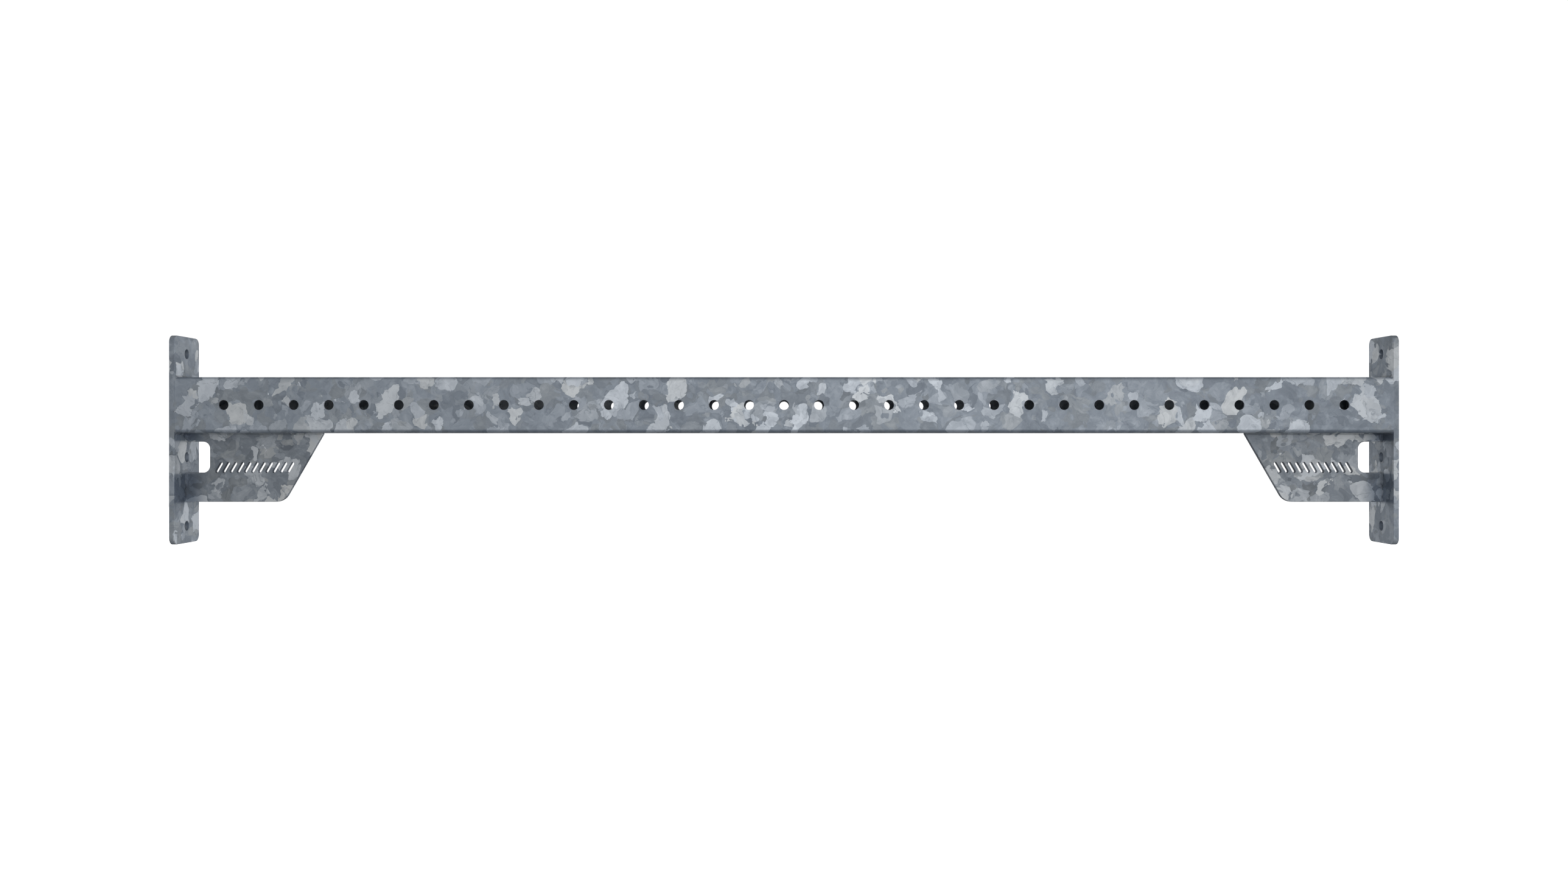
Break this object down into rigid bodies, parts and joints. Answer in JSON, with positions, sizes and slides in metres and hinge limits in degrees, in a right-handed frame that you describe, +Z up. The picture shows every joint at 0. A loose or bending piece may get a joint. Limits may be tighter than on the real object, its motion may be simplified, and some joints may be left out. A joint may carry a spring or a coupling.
{
  "type": "pull up rig crossbeam",
  "caption": "Galvanised square steel crossbeam with a row of round through holes, a tall bolt-on plate at each end and a notched gusset under each end.",
  "frame": {"origin": "centre of the whole beam: midway between the end plates, at half their height and half the tube's depth", "axes": "+X along the beam to the right, -Y out of the front, +Z up"},
  "size_m": [1.756, 0.08, 0.3],
  "materials": {
    "galvanised_tube": "hot-dip galvanised, matt with a soft spangle",
    "galvanised_plate": "hot-dip galvanised, matt with a soft spangle",
    "galvanised_weld": "hot-dip galvanised, matt"
  },
  "bodies": {
    "root": {"beam_tube": "galvanised_tube", "left_end_plate": "galvanised_plate", "left_gusset": "galvanised_plate", "left_tube_weld_top": "galvanised_weld", "left_tube_weld_bottom": "galvanised_weld", "left_tube_weld_front": "galvanised_weld", "left_tube_weld_back": "galvanised_weld", "left_gusset_plate_weld_upper_front": "galvanised_weld", "left_gusset_plate_weld_upper_back": "galvanised_weld", "left_gusset_plate_weld_lower_front": "galvanised_weld", "left_gusset_plate_weld_lower_back": "galvanised_weld", "left_gusset_tube_weld_front": "galvanised_weld", "left_gusset_tube_weld_back": "galvanised_weld", "right_end_plate": "galvanised_plate", "right_gusset": "galvanised_plate", "right_tube_weld_top": "galvanised_weld", "right_tube_weld_bottom": "galvanised_weld", "right_tube_weld_front": "galvanised_weld", "right_tube_weld_back": "galvanised_weld", "right_gusset_plate_weld_upper_front": "galvanised_weld", "right_gusset_plate_weld_upper_back": "galvanised_weld", "right_gusset_plate_weld_lower_front": "galvanised_weld", "right_gusset_plate_weld_lower_back": "galvanised_weld", "right_gusset_tube_weld_front": "galvanised_weld", "right_gusset_tube_weld_back": "galvanised_weld"}
  },
  "joints": []
}
